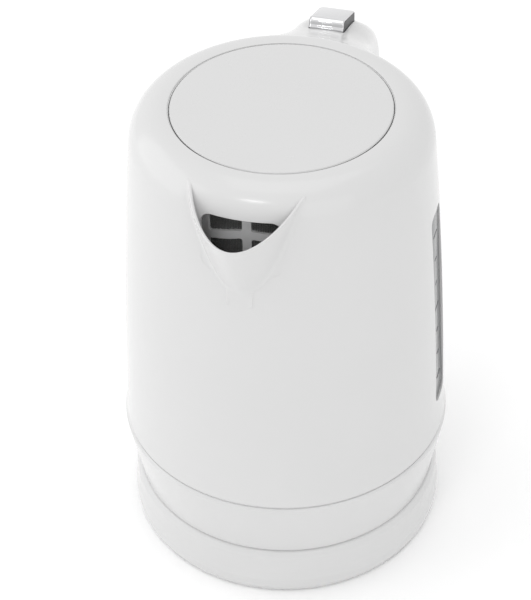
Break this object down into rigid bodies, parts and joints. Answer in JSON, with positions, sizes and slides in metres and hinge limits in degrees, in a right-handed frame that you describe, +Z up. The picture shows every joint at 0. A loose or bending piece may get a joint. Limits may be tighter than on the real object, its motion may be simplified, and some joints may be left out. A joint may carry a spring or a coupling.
{
  "type": "electric kettle",
  "caption": "Cordless electric kettle on a round power base, with flush hinged lid, beak spout with filter, side water window, D handle, release button and switch lever.",
  "frame": {"origin": "on the kettle's upright axis, in the plane the base's foot ring stands on", "axes": "+Z up, -Y towards the spout, +Y towards the handle, +X towards the water window"},
  "size_m": [0.1528, 0.2075, 0.225],
  "materials": {
    "body_plastic": "fine satin moulding",
    "lid_plastic": "fine satin moulding",
    "dark_plastic": "satin",
    "grey_plastic": "satin",
    "ivory_plastic": "glass filled",
    "white_plastic": "satin",
    "amber_plastic": "satin",
    "rubber": "matt",
    "silicone": "matt",
    "steel": "zinc plated",
    "stainless": "brushed",
    "element_metal": "drawn tube",
    "aluminium": "plain",
    "bimetal": "plain",
    "brass": "bright",
    "chrome": "polished",
    "smoked_clear": "smoky clear plastic",
    "mesh_metal": "fine mesh"
  },
  "bodies": {
    "power_base": {"base_cover": "body_plastic", "base_plate": "dark_plastic", "foot_ring": "rubber", "base_screws": "steel", "base_socket": "dark_plastic", "base_contacts": "brass", "cord_gland": "rubber"},
    "coupler": {"kettle_coupler": "dark_plastic", "coupler_contacts": "brass"},
    "kettle": {"body_shell": "body_plastic", "lower_collar": "body_plastic", "bottom_cover": "grey_plastic", "bottom_screws": "steel", "heater_plate": "stainless", "heat_spreader": "aluminium", "heating_element": "element_metal", "heater_seal": "silicone", "clamp_ring": "aluminium", "clamp_screws": "steel", "control_unit": "ivory_plastic", "bimetal_discs": "bimetal", "element_tabs": "brass", "steam_tube": "white_plastic", "water_window": "smoked_clear", "window_seal": "rubber", "handle_shell": "body_plastic", "handle_insert": "grey_plastic", "handle_screws": "steel", "hinge_bracket": "grey_plastic", "hinge_pin": "steel", "lid_spring": "steel", "button_guide": "dark_plastic", "button_spring": "steel", "switch_bracket": "dark_plastic", "switch_pin": "steel", "rocker_pin": "steel"},
    "lid": {"lid_cover": "lid_plastic", "lid_liner": "grey_plastic", "lid_seal": "silicone"},
    "button": {"release_button": "chrome"},
    "bolt": {"latch_bolt": "dark_plastic"},
    "switch": {"switch_lever": "grey_plastic"},
    "rocker": {"trip_rocker": "amber_plastic"},
    "filter": {"filter_frame": "grey_plastic", "filter_mesh": "mesh_metal"}
  },
  "joints": [
    {"name": "kettle_lift", "type": "slide", "parent": "power_base", "child": "coupler", "axis": [0, 0, 1], "range_m": [0, 0.12]},
    {"name": "kettle_swivel", "type": "hinge", "parent": "coupler", "child": "kettle", "pos_m": [0, 0, 0.04], "axis": [0, 0, 1], "continuous": true},
    {"name": "lid_hinge", "type": "hinge", "parent": "kettle", "child": "lid", "pos_m": [0, 0.055, 0.2175], "axis": [-1, 0, 0], "range_deg": [0, 75]},
    {"name": "button_press", "type": "slide", "parent": "kettle", "child": "button", "axis": [0, 0, -1], "range_m": [0, 0.003], "stiffness_N_per_m": 400, "springref_m": -0.002, "deforming": ["button_spring"]},
    {"name": "bolt_slide", "type": "slide", "parent": "kettle", "child": "bolt", "axis": [0, 1, 0], "range_m": [0, 0.003]},
    {"name": "switch_toggle", "type": "hinge", "parent": "kettle", "child": "switch", "pos_m": [0, 0.084, 0.044], "axis": [-1, 0, 0], "range_deg": [0, 14]},
    {"name": "rocker_tilt", "type": "hinge", "parent": "kettle", "child": "rocker", "pos_m": [0, 0.036, 0.044], "axis": [1, 0, 0], "range_deg": [0, 14]},
    {"name": "filter_tilt", "type": "hinge", "parent": "kettle", "child": "filter", "pos_m": [0, -0.0548, 0.181], "axis": [-1, 0, 0], "range_deg": [0, 10]}
  ],
  "couplings": [
    {"joint": "bolt_slide", "follows": "button_press", "ratio": 1},
    {"joint": "rocker_tilt", "follows": "switch_toggle", "ratio": 1}
  ]
}
